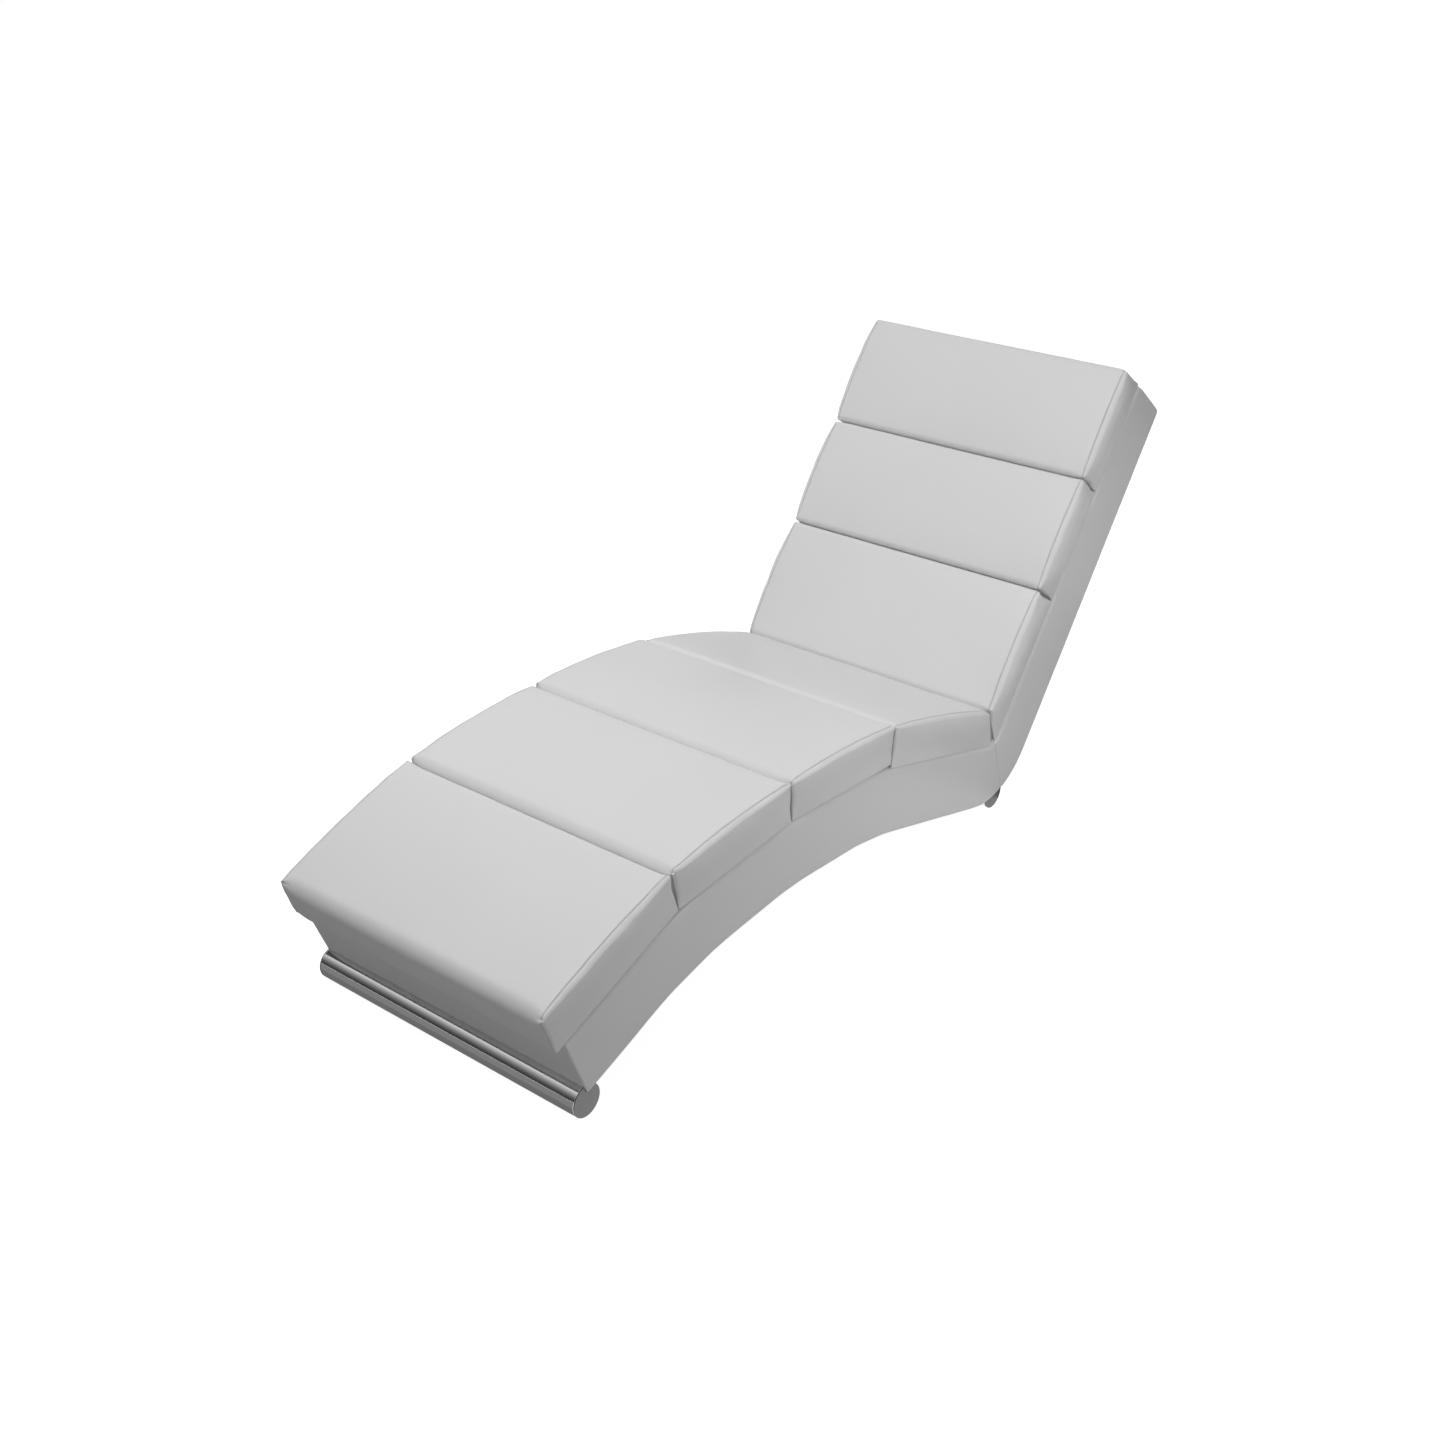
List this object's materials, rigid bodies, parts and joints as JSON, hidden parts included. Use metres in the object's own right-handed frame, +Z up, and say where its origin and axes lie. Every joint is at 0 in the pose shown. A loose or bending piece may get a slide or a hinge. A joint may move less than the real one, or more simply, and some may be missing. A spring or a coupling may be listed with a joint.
{
  "type": "chaise longue",
  "caption": "Wave-shaped upholstered chaise longue with a raised foot, a reclined back, thick square pads and chromed tube feet.",
  "frame": {"origin": "on the floor, under the middle of the overall box", "axes": "+Z up, +Y along the length from the foot end to the head end, +X across the width"},
  "size_m": [0.505, 1.5534, 0.6795],
  "materials": {
    "white_leatherette": "satin",
    "foam": "matte",
    "plywood": "matte",
    "hardboard": "matte",
    "dust_cloth": "matte",
    "chrome": "polished",
    "zinc_steel": "satin"
  },
  "bodies": {
    "root": {"back_cover_left": "white_leatherette", "back_cover_right": "white_leatherette", "back_deck": "plywood", "back_joint_rail": "plywood", "back_mid_rail": "plywood", "back_panel": "hardboard", "back_rear_cover": "white_leatherette", "back_side_left": "plywood", "back_side_right": "plywood", "back_top_cover": "white_leatherette", "back_top_rail": "plywood", "calf_pad_board": "plywood", "calf_pad_cover": "white_leatherette", "calf_pad_foam": "foam", "calf_rail": "plywood", "dust_cover": "dust_cloth", "foot_apron_cover": "white_leatherette", "foot_pad_board": "plywood", "foot_pad_cover": "white_leatherette", "foot_pad_foam": "foam", "front_rail": "plywood", "front_tube": "chrome", "front_tube_bolts": "zinc_steel", "front_tube_caps": "chrome", "head_pad_board": "plywood", "head_pad_cover": "white_leatherette", "head_pad_foam": "foam", "hip_rail": "plywood", "joint_bolts": "zinc_steel", "joint_nuts": "zinc_steel", "joint_washers": "zinc_steel", "lumbar_pad_board": "plywood", "lumbar_pad_cover": "white_leatherette", "lumbar_pad_foam": "foam", "pad_screws": "zinc_steel", "rear_tube": "chrome", "rear_tube_bolts": "zinc_steel", "rear_tube_caps": "chrome", "seat_cover_left": "white_leatherette", "seat_cover_right": "white_leatherette", "seat_deck": "plywood", "seat_pad_board": "plywood", "seat_pad_cover": "white_leatherette", "seat_pad_foam": "foam", "seat_rail": "plywood", "seat_side_left": "plywood", "seat_side_right": "plywood", "shoulder_pad_board": "plywood", "shoulder_pad_cover": "white_leatherette", "shoulder_pad_foam": "foam", "thigh_pad_board": "plywood", "thigh_pad_cover": "white_leatherette", "thigh_pad_foam": "foam", "thigh_rail": "plywood"}
  },
  "joints": []
}
